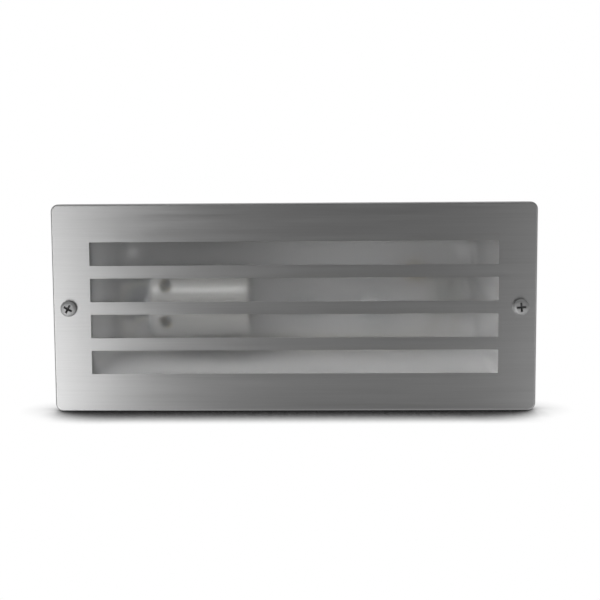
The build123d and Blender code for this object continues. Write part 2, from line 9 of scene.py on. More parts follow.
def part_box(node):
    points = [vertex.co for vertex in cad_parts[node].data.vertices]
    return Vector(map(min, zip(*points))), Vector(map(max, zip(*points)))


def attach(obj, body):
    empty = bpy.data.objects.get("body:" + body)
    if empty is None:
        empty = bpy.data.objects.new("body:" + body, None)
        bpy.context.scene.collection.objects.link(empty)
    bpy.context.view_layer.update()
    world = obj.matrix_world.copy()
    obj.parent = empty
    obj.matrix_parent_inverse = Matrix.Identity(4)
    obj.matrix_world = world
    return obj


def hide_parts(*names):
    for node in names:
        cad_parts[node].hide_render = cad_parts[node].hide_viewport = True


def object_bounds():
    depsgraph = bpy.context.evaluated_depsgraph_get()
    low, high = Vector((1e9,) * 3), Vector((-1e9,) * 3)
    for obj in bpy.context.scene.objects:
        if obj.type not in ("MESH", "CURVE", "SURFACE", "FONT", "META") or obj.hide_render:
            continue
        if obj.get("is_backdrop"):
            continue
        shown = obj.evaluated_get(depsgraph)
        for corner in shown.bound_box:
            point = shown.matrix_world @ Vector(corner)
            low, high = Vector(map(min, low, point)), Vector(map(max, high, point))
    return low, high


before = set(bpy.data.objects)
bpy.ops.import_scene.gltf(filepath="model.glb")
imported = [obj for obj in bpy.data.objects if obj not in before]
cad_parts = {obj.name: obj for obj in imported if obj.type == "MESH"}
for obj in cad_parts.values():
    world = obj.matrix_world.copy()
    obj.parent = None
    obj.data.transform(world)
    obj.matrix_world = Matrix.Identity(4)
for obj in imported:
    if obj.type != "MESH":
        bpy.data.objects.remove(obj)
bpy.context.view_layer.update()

bl_info = {
    "name": "Recessed Wall Light",
    "version": (1, 0, 0),
    "blender": (4, 5, 0),
    "location": "View3D > Sidebar > Wall Light",
    "description": "Dresses the recessed wall light with its finishes and threads, and sets its studio",
    "category": "Object",
}


def linear(code):
    """Linear red, green, blue and alpha of an sRGB hex colour such as #C8C8C8."""
    values = np.array([int(code[i:i + 2], 16) / 255 for i in (1, 3, 5)])
    values = np.where(values <= 0.04045, values / 12.92, ((values + 0.055) / 1.055) ** 2.4)
    return (*values.tolist(), 1.0)


# Sizes and colours that a user may change


class SteelFrontSettings(bpy.types.PropertyGroup):
    """Brushed front plate"""
    colour: FloatVectorProperty(
        name="Steel", description="Colour of the bare steel", subtype="COLOR", size=4,
        min=0, max=1, default=linear("#C6C6C6"))
    brush_length: FloatProperty(
        name="Brush length", description="Length of one brush mark along the plate",
        subtype="DISTANCE", unit="LENGTH", min=0.001, default=0.045)
    brush_width: FloatProperty(
        name="Brush width", description="Width of one brush mark across the plate",
        subtype="DISTANCE", unit="LENGTH", min=0.0001, default=0.0008)
    roughness: FloatProperty(
        name="Roughness", description="How far the brushing blurs reflections",
        subtype="FACTOR", min=0, max=1, default=0.36)
    anisotropy: FloatProperty(
        name="Anisotropy", description="How much more it blurs them across the brush marks",
        subtype="FACTOR", min=0, max=1, default=0.8)


class GlassSettings(bpy.types.PropertyGroup):
    """Etched pane"""
    tint: FloatVectorProperty(
        name="Tint", description="Colour of the light that the pane lets through", subtype="COLOR",
        size=4, min=0, max=1, default=linear("#E4E4E4"))
    roughness: FloatProperty(
        name="Roughness", description="How far the etching blurs what is behind the pane",
        subtype="FACTOR", min=0, max=1, default=0.25)
    veil: FloatProperty(
        name="Veil", description="Share of the light that the etched skin throws back",
        subtype="FACTOR", min=0, max=1, default=0.02)
    grain: FloatProperty(
        name="Grain", description="Size of the etched pits", subtype="DISTANCE", unit="LENGTH",
        min=0.00005, default=0.0006)


class BoxSettings(bpy.types.PropertyGroup):
    """Die-cast box"""
    colour: FloatVectorProperty(
        name="Coat", description="Colour of the powder coat", subtype="COLOR", size=4,
        min=0, max=1, default=linear("#E6E6E6"))
    grain: FloatProperty(
        name="Grain", description="Size of the coat's orange peel", subtype="DISTANCE", unit="LENGTH",
        min=0.0001, default=0.0009)


class LampholderSettings(bpy.types.PropertyGroup):
    """Porcelain lampholder and its metal parts"""
    glaze: FloatVectorProperty(
        name="Glaze", description="Colour of the glazed porcelain", subtype="COLOR", size=4,
        min=0, max=1, default=linear("#B0AFAC"))
    nickel: FloatVectorProperty(
        name="Nickel", description="Colour of the plated shell", subtype="COLOR", size=4,
        min=0, max=1, default=linear("#CFC8BA"))
    thread_pitch: FloatProperty(
        name="Thread pitch", description="Rise of the lamp thread in one turn", subtype="DISTANCE",
        unit="LENGTH", min=0.001, default=0.003629)
    thread_depth: FloatProperty(
        name="Thread depth", description="Depth of the pressed lamp thread", subtype="DISTANCE",
        unit="LENGTH", min=0.0001, default=0.00105)
    sheet: FloatProperty(
        name="Shell sheet", description="Thickness of the shell's metal", subtype="DISTANCE",
        unit="LENGTH", min=0.0001, default=0.0005)
    contact_opening: FloatProperty(
        name="Contact opening", description="Radius of the hole for the centre contact",
        subtype="DISTANCE", unit="LENGTH", min=0.001, default=0.006)


class ScrewSettings(bpy.types.PropertyGroup):
    """Cover screws"""
    colour: FloatVectorProperty(
        name="Screw steel", description="Colour of the tumbled steel", subtype="COLOR", size=4,
        min=0, max=1, default=linear("#C6C6C6"))
    head_round: FloatProperty(
        name="Head round", description="Radius of the pan head's rounded edge", subtype="DISTANCE",
        unit="LENGTH", min=0.0001, default=0.0016)
    head_height: FloatProperty(
        name="Head height", description="Height of the head", subtype="DISTANCE", unit="LENGTH",
        min=0.001, default=0.0028)
    shank_radius: FloatProperty(
        name="Shank radius", description="Outer radius of the thread", subtype="DISTANCE",
        unit="LENGTH", min=0.0005, default=0.002)
    thread_pitch: FloatProperty(
        name="Pitch", description="Rise of the screw thread in one turn", subtype="DISTANCE",
        unit="LENGTH", min=0.0001, default=0.0007)
    thread_depth: FloatProperty(
        name="Depth", description="Depth of the screw thread", subtype="DISTANCE", unit="LENGTH",
        min=0.0001, default=0.00043)
    recess_span: FloatProperty(
        name="Recess span", description="Width across the wings of the cross recess",
        subtype="DISTANCE", unit="LENGTH", min=0.0005, default=0.0048)
    recess_wing: FloatProperty(
        name="Recess wing", description="Width of one wing", subtype="DISTANCE", unit="LENGTH",
        min=0.0002, default=0.0011)
    recess_depth: FloatProperty(
        name="Recess depth", description="Depth of the cross recess", subtype="DISTANCE",
        unit="LENGTH", min=0.0002, default=0.0019)
    left_turn: FloatProperty(
        name="Left turn", description="How far the left screw's recess is turned",
        subtype="ANGLE", unit="ROTATION", default=radians(-30))
    right_turn: FloatProperty(
        name="Right turn", description="How far the right screw's recess is turned",
        subtype="ANGLE", unit="ROTATION", default=radians(5))


class WiringSettings(bpy.types.PropertyGroup):
    """Terminal block, leads, earth and cable entries"""
    polyamide: FloatVectorProperty(
        name="Polyamide", description="Colour of the terminal block", subtype="COLOR", size=4,
        min=0, max=1, default=linear("#DADAD6"))
    brass: FloatVectorProperty(
        name="Brass", description="Colour of the bare brass", subtype="COLOR", size=4,
        min=0, max=1, default=linear("#D9BE86"))
    zinc: FloatVectorProperty(
        name="Zinc", description="Colour of the zinc plating", subtype="COLOR", size=4,
        min=0, max=1, default=linear("#BFC3C6"))
    sleeve: FloatVectorProperty(
        name="Sleeves", description="Colour of the leads' glass-fibre sleeves", subtype="COLOR", size=4,
        min=0, max=1, default=linear("#D6D3CA"))
    gland: FloatVectorProperty(
        name="Gland", description="Colour of the gland and the plug", subtype="COLOR", size=4,
        min=0, max=1, default=linear("#DCDDDD"))
    rubber: FloatVectorProperty(
        name="Rubber", description="Colour of the gland's rubber rings", subtype="COLOR", size=4,
        min=0, max=1, default=linear("#2B2C2D"))
    seal: FloatVectorProperty(
        name="Seals", description="Colour of the silicone seals", subtype="COLOR", size=4,
        min=0, max=1, default=linear("#CCCCCB"))


class StageSettings(bpy.types.PropertyGroup):
    """Camera, floor and lights"""
    lens: FloatProperty(
        name="Lens", description="Focal length on a 36 mm wide image", subtype="DISTANCE_CAMERA",
        unit="CAMERA", min=10, default=66.2)
    tilt: FloatProperty(
        name="Tilt", description="How far the camera looks down", subtype="ANGLE", unit="ROTATION",
        default=radians(5.56))
    pan: FloatProperty(
        name="Pan", description="How far the front is turned from the camera", subtype="ANGLE",
        unit="ROTATION", default=radians(1.376))
    roll: FloatProperty(
        name="Roll", description="How far the picture leans", subtype="ANGLE", unit="ROTATION",
        default=radians(-0.384))
    aim: FloatVectorProperty(
        name="Aim", description="Middle of the front plate, right of, below and beyond the lens",
        subtype="TRANSLATION", unit="LENGTH", size=3, default=(-0.0033, 0.00408, 0.58098))
    paper: FloatVectorProperty(
        name="Paper", description="Colour of the floor and the backdrop", subtype="COLOR", size=4,
        min=0, max=1, default=linear("#B4B4B4"))
    near_edge: FloatProperty(
        name="Near edge", description="How far the paper reaches in front of the wall face",
        subtype="DISTANCE", unit="LENGTH", min=0.1, default=0.3)
    shadow: FloatProperty(
        name="Shadow", description="How far the object's shadow reaches to the front",
        subtype="DISTANCE", unit="LENGTH", min=0.001, default=0.042)
    mirrored: FloatProperty(
        name="Mirrored", description="How white the paper in front is where metal mirrors it",
        subtype="FACTOR", min=0, max=1, default=0.1)
    room: FloatProperty(
        name="Room", description="Brightness of the dark room in front of the stage", min=0,
        default=0.02)
    wall: FloatProperty(
        name="Wall", description="Brightness of the pale walls beside and behind the stage", min=0,
        default=0.5)
    ground: FloatProperty(
        name="Ground", description="Brightness of the room below the stage", min=0,
        default=0.46)
    key: FloatProperty(
        name="Key", description="Power of the main light, high at the left", subtype="POWER",
        unit="POWER", min=0, default=33.0)
    overhead: FloatProperty(
        name="Overhead", description="Power of the large light above", subtype="POWER",
        unit="POWER", min=0, default=2.5)
    left: FloatProperty(
        name="Left", description="Power of the soft panel that the left of the plate mirrors",
        subtype="POWER", unit="POWER", min=0, default=12.0)
    right: FloatProperty(
        name="Right", description="Power of the weak panel that the right of the plate mirrors",
        subtype="POWER", unit="POWER", min=0, default=2.8)
    back: FloatProperty(
        name="Back", description="Power of the light on the back of the box", subtype="POWER",
        unit="POWER", min=0, default=5.0)


class WallLightSettings(bpy.types.PropertyGroup):
    """All settings of the wall light"""
    front: PointerProperty(name="Front", description="Brushed front plate", type=SteelFrontSettings)
    glass: PointerProperty(name="Glass", description="Etched pane", type=GlassSettings)
    box: PointerProperty(name="Box", description="Die-cast box", type=BoxSettings)
    holder: PointerProperty(name="Lampholder", description="Porcelain lampholder", type=LampholderSettings)
    screws: PointerProperty(name="Screws", description="Cover screws", type=ScrewSettings)
    wiring: PointerProperty(name="Wiring", description="Terminals, leads and entries", type=WiringSettings)
    stage: PointerProperty(name="Stage", description="Camera, floor and lights", type=StageSettings)


# Helpers


def add(tree, kind, sockets=None, **settings):
    """Adds one shader node, with its settings, and sets or links the sockets that are named, or
    numbered where a node has several of one name."""
    node = tree.nodes.new("ShaderNode" + kind)
    for name, value in settings.items():
        setattr(node, name, value)
    for key, value in (sockets or {}).items():
        if isinstance(value, bpy.types.NodeSocket):
            tree.links.new(value, node.inputs[key])
        else:
            node.inputs[key].default_value = value
    return node


def blank_material(name):
    """A new material with an empty node tree, and that tree."""
    material = bpy.data.materials.new(name)
    material.use_nodes = True
    material.node_tree.nodes.clear()
    return material, material.node_tree


def shade(colour, factor):
    """The same colour, darker or lighter by a factor, with its alpha."""
    return (*(min(1.0, c * factor) for c in colour[:3]), 1.0)


def dress(material, *nodes):
    """Puts one material on every slot of the named pieces."""
    for name in nodes:
        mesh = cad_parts[name].data
        if not mesh.materials:
            mesh.materials.append(material)
        for index in range(len(mesh.materials)):
            mesh.materials[index] = material


def grid_faces(rows, columns, first=0, close_rows=False):
    """Quads between neighbouring points of a grid whose columns run round and close on themselves."""
    i = np.arange(rows if close_rows else rows - 1)[:, None]
    j = np.arange(columns)[None, :]
    right = (j + 1) % columns
    up = (i + 1) % rows
    quads = np.stack([i * columns + j, i * columns + right, up * columns + right, up * columns + j], -1)
    return quads.reshape(-1, 4) + first


def new_piece(name, points, faces, material, body, node, sharp=35):
    """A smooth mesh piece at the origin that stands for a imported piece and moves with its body."""
    mesh = bpy.data.meshes.new(name)
    mesh.from_pydata(points.reshape(-1, 3).tolist(), [], faces)
    if mesh.validate():
        raise RuntimeError(f"{name} has broken faces")
    mesh.polygons.foreach_set("use_smooth", np.ones(len(mesh.polygons), bool))
    mesh.set_sharp_from_angle(angle=radians(sharp))
    mesh.materials.append(material)
    piece = bpy.data.objects.new(name, mesh)
    bpy.context.scene.collection.objects.link(piece)
    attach(piece, body)
    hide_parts(node)
    return piece


# Finishes


def brushed_stainless(settings):
    """Stainless sheet, belt-brushed along its length: long faint streaks, and reflections that are
    drawn out up and down but stay fairly sharp from side to side."""
    material, tree = blank_material("Brushed stainless steel")
    place = add(tree, "TexCoord").outputs["Object"]
    # Real brush marks are about 0.1 mm wide; these are coarser so that they show in the picture
    fine = add(tree, "Mapping", {"Vector": place, "Scale": (
        1 / settings.brush_length, 1 / settings.brush_width, 1 / settings.brush_width)})
    marks = add(tree, "TexNoise", {
        "Vector": fine.outputs[0], "Scale": 1.0, "Detail": 4.0, "Roughness": 0.65})
    # Bands longer and wider than the marks keep the sheet from looking even
    band_length, band_width = 2.5 * settings.brush_length, 6 * settings.brush_width
    broad = add(tree, "Mapping", {
        "Vector": place, "Scale": (1 / band_length, 1 / band_width, 1 / band_width)})
    bands = add(tree, "TexNoise", {"Vector": broad.outputs[0], "Scale": 1.0, "Detail": 2.0})
    both = add(tree, "Mix", {0: 0.35, 2: marks.outputs["Fac"], 3: bands.outputs["Fac"]})
    tone = add(tree, "ValToRGB", {"Fac": both.outputs[0]})
    tone.color_ramp.elements[0].position = 0.3
    tone.color_ramp.elements[0].color = shade(settings.colour, 0.93)
    tone.color_ramp.elements[1].position = 0.7
    tone.color_ramp.elements[1].color = shade(settings.colour, 1.05)
    rough = add(tree, "MapRange", {
        "Value": both.outputs[0], "From Min": 0.3, "From Max": 0.7,
        "To Min": settings.roughness - 0.04, "To Max": settings.roughness + 0.04})
    ridges = add(tree, "Bump", {"Height": marks.outputs["Fac"], "Strength": 0.06, "Distance": 0.0001})
    # The blur runs across the marks; the small lean keeps it defined on the folded rim
    across = add(tree, "CombineXYZ", {"X": 0.02, "Y": 0.35, "Z": 1.0})
    steel = add(tree, "BsdfPrincipled", {
        "Base Color": tone.outputs["Color"], "Metallic": 1.0, "Roughness": rough.outputs["Result"],
        "Anisotropic": settings.anisotropy, "Tangent": across.outputs[0],
        "Normal": ridges.outputs["Normal"]})
    add(tree, "OutputMaterial", {"Surface": steel.outputs[0]})
    return material


def metal(name, colour, roughness, grain, depth=0.05, tarnish=0.85, painted_shade=None):
    """A worked metal surface: grain of the given size in metres breaks up the gloss, and slow
    clouds twelve times that size darken it a little where it has been handled. Where a piece has
    the named attribute, painted shade darkens it by that much, as shade falls in a recess."""
    material, tree = blank_material(name)
    place = add(tree, "TexCoord").outputs["Object"]
    fine = add(tree, "TexNoise", {"Vector": place, "Scale": 1 / grain, "Detail": 3.0})
    slow = add(tree, "TexNoise", {
        "Vector": place, "Scale": 1 / (12 * grain), "Detail": 3.0, "Roughness": 0.6})
    tone = add(tree, "ValToRGB", {"Fac": slow.outputs["Fac"]})
    tone.color_ramp.elements[0].position = 0.35
    tone.color_ramp.elements[0].color = shade(colour, tarnish)
    tone.color_ramp.elements[1].position = 0.65
    tone.color_ramp.elements[1].color = shade(colour, 1.0)
    skin = tone.outputs["Color"]
    # Painted shade: where the piece has the named attribute, the colour darkens towards a quarter of the
    # steel
    if painted_shade:
        amount = add(tree, "Attribute", attribute_name=painted_shade).outputs["Fac"]
        skin = add(tree, "Mix", {0: amount, 6: skin, 7: shade(colour, 0.25)}, data_type="RGBA").outputs[2]
    rough = add(tree, "MapRange", {
        "Value": fine.outputs["Fac"], "From Min": 0.3, "From Max": 0.7,
        "To Min": roughness - 0.06, "To Max": roughness + 0.06})
    relief = add(tree, "Bump", {"Height": fine.outputs["Fac"], "Strength": depth, "Distance": grain / 4})
    shader = add(tree, "BsdfPrincipled", {
        "Base Color": skin, "Metallic": 1.0, "Roughness": rough.outputs["Result"],
        "Normal": relief.outputs["Normal"]})
    add(tree, "OutputMaterial", {"Surface": shader.outputs[0]})
    return material


def moulded(name, colour, roughness, grain, depth, ior=1.5, spread=0.08, coat=0.0):
    """A moulded, fired or drawn skin that isn't metal: grain of the given size in metres gives its
    relief and gloss, and clouds ten times that size shift its colour by the spread."""
    material, tree = blank_material(name)
    place = add(tree, "TexCoord").outputs["Object"]
    fine = add(tree, "TexNoise", {"Vector": place, "Scale": 1 / grain, "Detail": 4.0})
    slow = add(tree, "TexNoise", {"Vector": place, "Scale": 1 / (10 * grain), "Detail": 2.0})
    tone = add(tree, "ValToRGB", {"Fac": slow.outputs["Fac"]})
    tone.color_ramp.elements[0].position = 0.3
    tone.color_ramp.elements[0].color = shade(colour, 1 - spread)
    tone.color_ramp.elements[1].position = 0.7
    tone.color_ramp.elements[1].color = shade(colour, 1 + spread / 2)
    rough = add(tree, "MapRange", {
        "Value": fine.outputs["Fac"], "From Min": 0.3, "From Max": 0.7,
        "To Min": 0.9 * roughness, "To Max": 1.1 * roughness})
    relief = add(tree, "Bump", {"Height": fine.outputs["Fac"], "Strength": depth, "Distance": grain / 4})
    shader = add(tree, "BsdfPrincipled", {
        "Base Color": tone.outputs["Color"], "Roughness": rough.outputs["Result"], "IOR": ior,
        "Coat Weight": coat, "Coat Roughness": 0.05, "Normal": relief.outputs["Normal"]})
    add(tree, "OutputMaterial", {"Surface": shader.outputs[0]})
    return material


def etched_glass(settings):
    """Float glass, acid-etched: fine pits blur what is behind it and throw back a thin grey veil.
    Rays from lamps pass straight through, dimmed as the pane dims them."""
    material, tree = blank_material("Etched float glass")
    place = add(tree, "TexCoord").outputs["Object"]
    pits = add(tree, "TexNoise", {"Vector": place, "Scale": 1 / settings.grain, "Detail": 3.0})
    cloud = add(tree, "TexNoise", {"Vector": place, "Scale": 1 / (40 * settings.grain), "Detail": 2.0})
    tone = add(tree, "ValToRGB", {"Fac": cloud.outputs["Fac"]})
    tone.color_ramp.elements[0].color = shade(settings.tint, 0.95)
    tone.color_ramp.elements[1].color = shade(settings.tint, 1.0)
    rough = add(tree, "MapRange", {
        "Value": pits.outputs["Fac"], "From Min": 0.3, "From Max": 0.7,
        "To Min": settings.roughness - 0.015, "To Max": settings.roughness + 0.015})
    pane = add(tree, "BsdfPrincipled", {
        "Base Color": tone.outputs["Color"], "Roughness": rough.outputs["Result"], "IOR": 1.52,
        "Transmission Weight": 1 - settings.veil})
    # A ray meets two faces of the pane, each of which takes half of the tint and mirrors 4 percent
    half = (*(value ** 0.5 for value in settings.tint[:3]), 1.0)
    clear = add(tree, "BsdfTransparent", {"Color": shade(half, 0.96)})
    lamp = add(tree, "LightPath").outputs["Is Shadow Ray"]
    both = add(tree, "MixShader", {0: lamp, 1: pane.outputs[0], 2: clear.outputs[0]})
    add(tree, "OutputMaterial", {"Surface": both.outputs[0]})
    return material


def studio_paper(settings):
    """Seamless paper, matt and pale. What is seen of it is lit up to white, except close to the
    object, where its shadow stays: there the object takes up much of what the paper sees above it,
    and in front of it also much of what the paper sees behind it. Metal mirrors the paper behind
    the plate as it is seen, and the paper in front of it faintly, with the room beyond it. Through
    the etched pane it is as faint, because the box belongs in a wall."""
    material, tree = blank_material("Seamless white paper")
    path = add(tree, "LightPath").outputs
    behind = add(tree, "CombineXYZ", {"X": 0.0, "Y": 1.0, "Z": 0.02})
    free = add(tree, "AmbientOcclusion", {
        "Distance": settings.shadow, "Normal": behind.outputs[0]}, samples=32)
    # Half of that view is under the paper, so it is never taken up
    depth = add(tree, "MapRange", {"Value": free.outputs["AO"], "From Min": 0.5, "From Max": 0.82})
    above = add(tree, "AmbientOcclusion", {"Distance": settings.shadow / 2}, samples=16)
    level = add(tree, "Math", {0: depth.outputs["Result"], 1: above.outputs["AO"]}, operation="MULTIPLY")
    light = add(tree, "Emission", {"Color": (1, 1, 1, 1), "Strength": level.outputs[0]})
    matt = add(tree, "BsdfDiffuse", {"Color": settings.paper})
    clear = add(tree, "BsdfTransparent")
    seen = add(tree, "Math", {
        0: path["Is Camera Ray"], 1: path["Is Transmission Ray"]}, operation="MAXIMUM")
    lit = add(tree, "MixShader", {0: seen.outputs[0], 1: matt.outputs[0], 2: light.outputs[0]})
    place = add(tree, "SeparateXYZ", {0: add(tree, "TexCoord").outputs["Object"]})
    white = add(tree, "MapRange", {
        "Value": place.outputs["Y"], "From Min": -0.02, "From Max": 0.06, "To Min": settings.mirrored})
    share = add(tree, "Mix", {
        0: path["Is Transmission Ray"], 2: white.outputs["Result"], 3: settings.mirrored})
    mirror = add(tree, "MixShader", {0: share.outputs[0], 1: clear.outputs[0], 2: light.outputs[0]})
    both = add(tree, "MixShader", {0: path["Is Glossy Ray"], 1: lit.outputs[0], 2: mirror.outputs[0]})
    add(tree, "OutputMaterial", {"Surface": both.outputs[0]})
    return material


# Surfaces


def threaded_shell(settings):
    """Points and faces of the screw shell. A profile runs round the sheet: up the outer wall, over
    the mouth, down the inner wall, and over both faces of the floor to the contact opening. It is
    turned about the lamp's axis, and both walls step inwards together by a cosine wave: the radius
    loses depth * (1 - cos(2 pi * (along / pitch) - angle)) / 2, which fades out at the floor and
    the mouth, so the sheet keeps its thickness and the wave climbs one pitch in each turn."""
    wall_rows, opening_rows, columns = 110, 2, 128
    plain_floor, floor_fade = 0.002, 0.003
    plain_mouth, mouth_fade = 0.0008, 0.002
    low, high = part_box("screw_shell")
    axis_y, axis_z = (low.y + high.y) / 2, (low.z + high.z) / 2
    outer = (high.y - low.y) / 2
    inner = outer - settings.sheet
    floor = low.x + settings.sheet
    outside = np.linspace(low.x, high.x, wall_rows)
    inside = np.linspace(high.x, floor, wall_rows - opening_rows)
    radius = np.concatenate([
        np.full(len(outside), outer), np.full(len(inside), inner),
        np.full(opening_rows, settings.contact_opening)])
    level = np.concatenate([outside, inside, [floor, low.x]])
    angle = np.linspace(0, 2 * pi, columns, endpoint=False)
    wave = 0.5 - 0.5 * np.cos(2 * pi * level[:, None] / settings.thread_pitch - angle[None, :])
    from_floor = np.clip((level - low.x - plain_floor) / floor_fade, 0, 1)
    to_mouth = np.clip((high.x - level - plain_mouth) / mouth_fade, 0, 1)
    # The rows at the contact opening stay round
    fade = np.where(radius < inner, 0, from_floor * to_mouth)
    r = radius[:, None] - settings.thread_depth * wave * fade[:, None]
    points = np.stack([
        np.broadcast_to(level[:, None], r.shape),
        axis_y + r * np.cos(angle),
        axis_z + r * np.sin(angle)], -1)
    return points, grid_faces(*r.shape, close_rows=True)[:, ::-1].tolist()


def cover_screw(node, turn, settings):
    """Points and faces of one pan head screw, and how far each point is sunk in the recess. The head
    is a profile turned about the screw's axis: the height falls from the top over a quarter-round
    edge to the seat. Inside the cross recess it drops with steep sides, to the full depth in the
    middle and a share of it at the ends of the wings. The shank is a zigzag wound round the axis:
    its radius loses depth * |2 * frac(along / pitch + angle / 2 pi) - 1|. The zigzag starts below a
    plain neck and runs out to the core at the tip."""
    top_rows, edge_rows, head_columns = 44, 12, 144
    shank_rows, shank_columns = 400, 32
    pole = 0.00002
    recess_side, wing_end_share = 0.00012, 0.55
    crown_drop = 0.00015
    neck, run_out, tip_taper = 0.0015, 0.0006, 0.85
    low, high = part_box(node)
    centre_x, centre_z = (low.x + high.x) / 2, (low.z + high.z) / 2
    seat = low.y + settings.head_height
    radius = (high.x - low.x) / 2
    flat = radius - settings.head_round
    # Head, from the middle of the top to the seat and back to the axis under it
    bend = np.linspace(0, pi / 2, edge_rows)[1:]
    edge_r = flat + settings.head_round * np.sin(bend)
    edge_h = settings.head_height - settings.head_round * (1 - np.cos(bend))
    r = np.concatenate([np.linspace(pole, flat, top_rows), edge_r, [radius, pole]])[:, None]
    h = np.concatenate([np.full(top_rows, settings.head_height), edge_h, [0, 0]])[:, None]
    angle = np.linspace(0, 2 * pi, head_columns, endpoint=False)
    a = np.abs(r * np.cos(angle - turn))
    b = np.abs(r * np.sin(angle - turn))
    half_span, half_wing = settings.recess_span / 2, settings.recess_wing / 2
    reach = np.maximum(
        np.minimum(half_span - a, half_wing - b), np.minimum(half_span - b, half_wing - a))
    share = wing_end_share + (1 - wing_end_share) * np.clip(1 - r / half_span, 0, 1)
    upper = h > settings.head_height - settings.head_round
    sunk = np.clip(reach / recess_side, 0, 1) * upper
    # A shallow crown on the top keeps the light moving over it
    crown = crown_drop * np.clip((r / flat) ** 2, 0, 1) * upper
    height = h - settings.recess_depth * share * sunk - crown
    head = np.stack([
        centre_x + r * np.cos(angle), seat - height, centre_z + r * np.sin(angle)], -1)
    # Shank, from under the head to the tip
    along = np.linspace(0, high.y - seat, shank_rows)[:, None]
    around = np.linspace(0, 2 * pi, shank_columns, endpoint=False)
    zigzag = np.abs(2 * ((-along / settings.thread_pitch - around / (2 * pi)) % 1.0) - 1)
    tip = np.clip((along[-1] - along) / run_out, 0, 1)
    start = np.clip((along - neck) / run_out, 0, 1)
    cut = (1 - (1 - zigzag) * tip) * np.maximum(start, 1 - tip)
    shank_r = settings.shank_radius - settings.thread_depth * cut
    shank_r[-1] *= tip_taper
    shank = np.stack([
        centre_x + shank_r * np.cos(around), np.broadcast_to(seat + along, shank_r.shape),
        centre_z + shank_r * np.sin(around)], -1)
    points = np.concatenate([head.reshape(-1, 3), shank.reshape(-1, 3)])
    first = sunk.size
    faces = grid_faces(*sunk.shape)[:, ::-1].tolist()
    faces += grid_faces(*shank_r.shape, first)[:, ::-1].tolist()
    # Close both poles of the head and both ends of the shank
    ring = np.arange(head_columns)
    faces += [ring.tolist(), (first - head_columns + ring[::-1]).tolist()]
    ring = np.arange(shank_columns)
    faces += [(first + ring).tolist(), (len(points) - shank_columns + ring[::-1]).tolist()]
    return points, faces, np.concatenate([sunk.ravel(), np.zeros(shank_r.size)])


def paper_sweep(settings):
    """Points and faces of the seamless paper: a line across the stage carried along a path that
    lies flat on the floor, turns up through a quarter circle behind the object and then rises."""
    bend_start, bend_radius, bend_rows = 1.1, 0.4, 24
    height, half_width = 1.9, 1.8
    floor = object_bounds()[0][2]
    turn = np.linspace(0, pi / 2, bend_rows)
    bend_y = bend_start + bend_radius * np.sin(turn)
    bend_z = bend_radius * (1 - np.cos(turn))
    y = np.concatenate([[-settings.near_edge], bend_y, [bend_start + bend_radius]])
    z = np.concatenate([[0], bend_z, [height]]) + floor
    x = np.array([-half_width, half_width])
    points = np.stack(np.broadcast_arrays(x[None, :], y[:, None], z[:, None]), -1)
    i = np.arange(len(y) - 1)
    faces = np.stack([2 * i, 2 * i + 1, 2 * i + 3, 2 * i + 2], -1)
    return points, faces.tolist()


# Stage


def set_camera(scene, settings):
    """The camera. The rows of look are its right, down and forward directions: those of a camera that
    looks straight at the wall, turned by the pan, tilt and roll. It stands back from the middle of
    the plate's front by the aim."""
    straight_on = Matrix(((1, 0, 0), (0, 0, -1), (0, 1, 0)))
    look = (Matrix.Rotation(settings.roll, 3, "Z") @ Matrix.Rotation(settings.tilt, 3, "X")
            @ Matrix.Rotation(settings.pan, 3, "Y")) @ straight_on
    low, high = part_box("faceplate")
    front = Vector(((low.x + high.x) / 2, low.y, (low.z + high.z) / 2))
    place = front - look.transposed() @ Vector(settings.aim)
    turned = Matrix((look[0], -look[1], -look[2])).transposed()
    data = bpy.data.cameras.new("Camera")
    data.lens = settings.lens
    data.sensor_width = 36.0
    data.clip_start = 0.01
    camera = bpy.data.objects.new("Camera", data)
    camera.matrix_world = Matrix.Translation(place) @ turned.to_4x4()
    scene.collection.objects.link(camera)
    scene.camera = camera


def lay_paper(scene, settings):
    """The seamless paper under and behind the object. Lamps below its level shine through it."""
    points, faces = paper_sweep(settings)
    mesh = bpy.data.meshes.new("Seamless paper")
    mesh.from_pydata(points.reshape(-1, 3).tolist(), [], faces)
    mesh.polygons.foreach_set("use_smooth", np.ones(len(mesh.polygons), bool))
    mesh.materials.append(studio_paper(settings))
    paper = bpy.data.objects.new("Seamless paper", mesh)
    scene.collection.objects.link(paper)
    paper.visible_shadow = False
    paper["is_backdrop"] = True


def hang_lights(scene, settings):
    """The key high at the left, one light above, one behind, and a panel at each end that shows only
    in reflections. The key and the light behind show in none."""
    for name, power, size, spot, target, mirrored, shines in (
        ("Key light", settings.key, (0.9, 0.9), (-0.5, -1.35, 1.2), (0, 0, 0), False, True),
        ("Overhead light", settings.overhead, (1.6, 1.2), (0.1, -0.35, 1.35), (0, 0, 0), True, True),
        ("Back light", settings.back, (1.2, 0.8), (0.25, 0.85, 0.65), (0, 0.04, 0), False, True),
        ("Left panel", settings.left, (0.8, 1.4), (-0.85, -1.4, -0.7), (-0.85, 0, -0.7), True, False),
        ("Right panel", settings.right, (0.8, 1.2), (0.86, -1.4, -0.6), (0.86, 0, -0.6), True, False),
    ):
        lamp = bpy.data.lights.new(name, "AREA")
        lamp.shape = "RECTANGLE"
        lamp.size, lamp.size_y = size
        lamp.energy = power
        light = bpy.data.objects.new(name, lamp)
        aim = Vector(target) - Vector(spot)
        facing = aim.to_track_quat("-Z", "Y").to_matrix().to_4x4()
        light.matrix_world = Matrix.Translation(Vector(spot)) @ facing
        light.visible_camera = False
        light.visible_glossy = mirrored
        light.visible_diffuse = shines
        scene.collection.objects.link(light)


